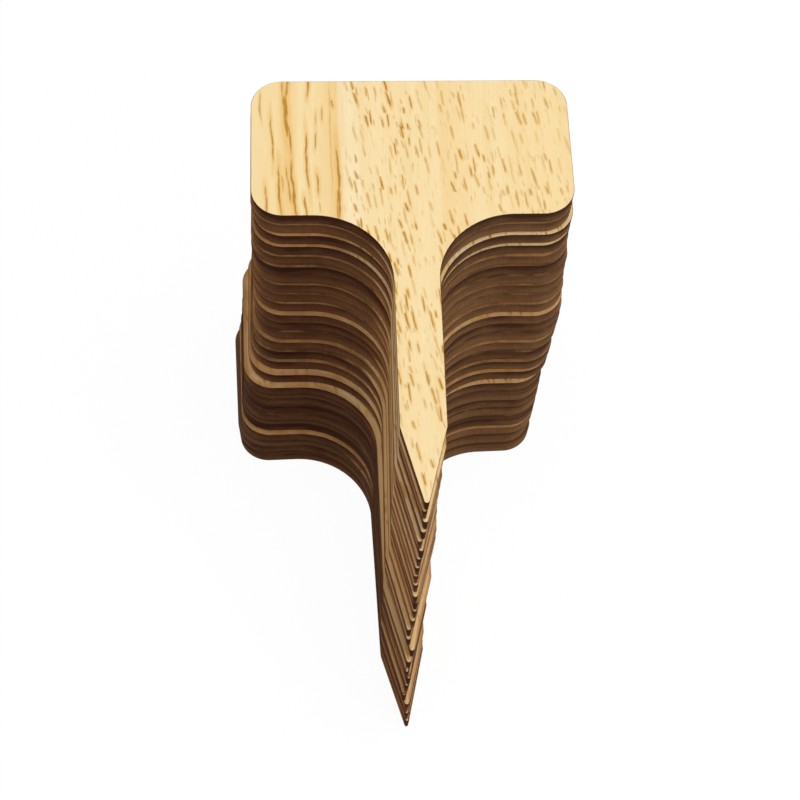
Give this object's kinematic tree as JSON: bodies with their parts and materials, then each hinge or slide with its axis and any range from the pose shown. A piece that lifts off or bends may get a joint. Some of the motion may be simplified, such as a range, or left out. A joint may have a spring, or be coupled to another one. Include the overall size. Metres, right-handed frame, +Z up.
{
  "type": "stack of plant label stakes",
  "caption": "Stack of loose T-shaped wooden plant label stakes, laser-cut from thin sheet, each with a wide head to write on and a pointed stem to push into soil.",
  "frame": {"origin": "on the underside of the bottom stake, on its centre line, midway between its point and its far edge", "axes": "+Y from the points towards the heads, along the bottom stake; +X to the right, seen from the points; +Z up through the stack"},
  "size_m": [0.0707, 0.1123, 0.075],
  "materials": {
    "laser_cut_wood": "planed and sanded faces, laser-charred edges, no coating"
  },
  "bodies": {
    "stake_01": {"stake_01": "laser_cut_wood"},
    "stake_02": {"stake_02": "laser_cut_wood"},
    "stake_03": {"stake_03": "laser_cut_wood"},
    "stake_04": {"stake_04": "laser_cut_wood"},
    "stake_05": {"stake_05": "laser_cut_wood"},
    "stake_06": {"stake_06": "laser_cut_wood"},
    "stake_07": {"stake_07": "laser_cut_wood"},
    "stake_08": {"stake_08": "laser_cut_wood"},
    "stake_09": {"stake_09": "laser_cut_wood"},
    "stake_10": {"stake_10": "laser_cut_wood"},
    "stake_11": {"stake_11": "laser_cut_wood"},
    "stake_12": {"stake_12": "laser_cut_wood"},
    "stake_13": {"stake_13": "laser_cut_wood"},
    "stake_14": {"stake_14": "laser_cut_wood"},
    "stake_15": {"stake_15": "laser_cut_wood"},
    "stake_16": {"stake_16": "laser_cut_wood"},
    "stake_17": {"stake_17": "laser_cut_wood"},
    "stake_18": {"stake_18": "laser_cut_wood"},
    "stake_19": {"stake_19": "laser_cut_wood"},
    "stake_20": {"stake_20": "laser_cut_wood"},
    "stake_21": {"stake_21": "laser_cut_wood"},
    "stake_22": {"stake_22": "laser_cut_wood"},
    "stake_23": {"stake_23": "laser_cut_wood"},
    "stake_24": {"stake_24": "laser_cut_wood"},
    "stake_25": {"stake_25": "laser_cut_wood"}
  },
  "joints": [
    {"name": "lift_02", "type": "slide", "parent": "stake_01", "child": "stake_02", "axis": [0, 0, 1], "range_m": [0, 0.02]},
    {"name": "lift_03", "type": "slide", "parent": "stake_02", "child": "stake_03", "axis": [0, 0, 1], "range_m": [0, 0.02]},
    {"name": "lift_04", "type": "slide", "parent": "stake_03", "child": "stake_04", "axis": [0, 0, 1], "range_m": [0, 0.02]},
    {"name": "lift_05", "type": "slide", "parent": "stake_04", "child": "stake_05", "axis": [0, 0, 1], "range_m": [0, 0.02]},
    {"name": "lift_06", "type": "slide", "parent": "stake_05", "child": "stake_06", "axis": [0, 0, 1], "range_m": [0, 0.02]},
    {"name": "lift_07", "type": "slide", "parent": "stake_06", "child": "stake_07", "axis": [0, 0, 1], "range_m": [0, 0.02]},
    {"name": "lift_08", "type": "slide", "parent": "stake_07", "child": "stake_08", "axis": [0, 0, 1], "range_m": [0, 0.02]},
    {"name": "lift_09", "type": "slide", "parent": "stake_08", "child": "stake_09", "axis": [0, 0, 1], "range_m": [0, 0.02]},
    {"name": "lift_10", "type": "slide", "parent": "stake_09", "child": "stake_10", "axis": [0, 0, 1], "range_m": [0, 0.02]},
    {"name": "lift_11", "type": "slide", "parent": "stake_10", "child": "stake_11", "axis": [0, 0, 1], "range_m": [0, 0.02]},
    {"name": "lift_12", "type": "slide", "parent": "stake_11", "child": "stake_12", "axis": [0, 0, 1], "range_m": [0, 0.02]},
    {"name": "lift_13", "type": "slide", "parent": "stake_12", "child": "stake_13", "axis": [0, 0, 1], "range_m": [0, 0.02]},
    {"name": "lift_14", "type": "slide", "parent": "stake_13", "child": "stake_14", "axis": [0, 0, 1], "range_m": [0, 0.02]},
    {"name": "lift_15", "type": "slide", "parent": "stake_14", "child": "stake_15", "axis": [0, 0, 1], "range_m": [0, 0.02]},
    {"name": "lift_16", "type": "slide", "parent": "stake_15", "child": "stake_16", "axis": [0, 0, 1], "range_m": [0, 0.02]},
    {"name": "lift_17", "type": "slide", "parent": "stake_16", "child": "stake_17", "axis": [0, 0, 1], "range_m": [0, 0.02]},
    {"name": "lift_18", "type": "slide", "parent": "stake_17", "child": "stake_18", "axis": [0, 0, 1], "range_m": [0, 0.02]},
    {"name": "lift_19", "type": "slide", "parent": "stake_18", "child": "stake_19", "axis": [0, 0, 1], "range_m": [0, 0.02]},
    {"name": "lift_20", "type": "slide", "parent": "stake_19", "child": "stake_20", "axis": [0, 0, 1], "range_m": [0, 0.02]},
    {"name": "lift_21", "type": "slide", "parent": "stake_20", "child": "stake_21", "axis": [0, 0, 1], "range_m": [0, 0.02]},
    {"name": "lift_22", "type": "slide", "parent": "stake_21", "child": "stake_22", "axis": [0, 0, 1], "range_m": [0, 0.02]},
    {"name": "lift_23", "type": "slide", "parent": "stake_22", "child": "stake_23", "axis": [0, 0, 1], "range_m": [0, 0.02]},
    {"name": "lift_24", "type": "slide", "parent": "stake_23", "child": "stake_24", "axis": [0, 0, 1], "range_m": [0, 0.02]},
    {"name": "lift_25", "type": "slide", "parent": "stake_24", "child": "stake_25", "axis": [0, 0, 1], "range_m": [0, 0.02]}
  ]
}
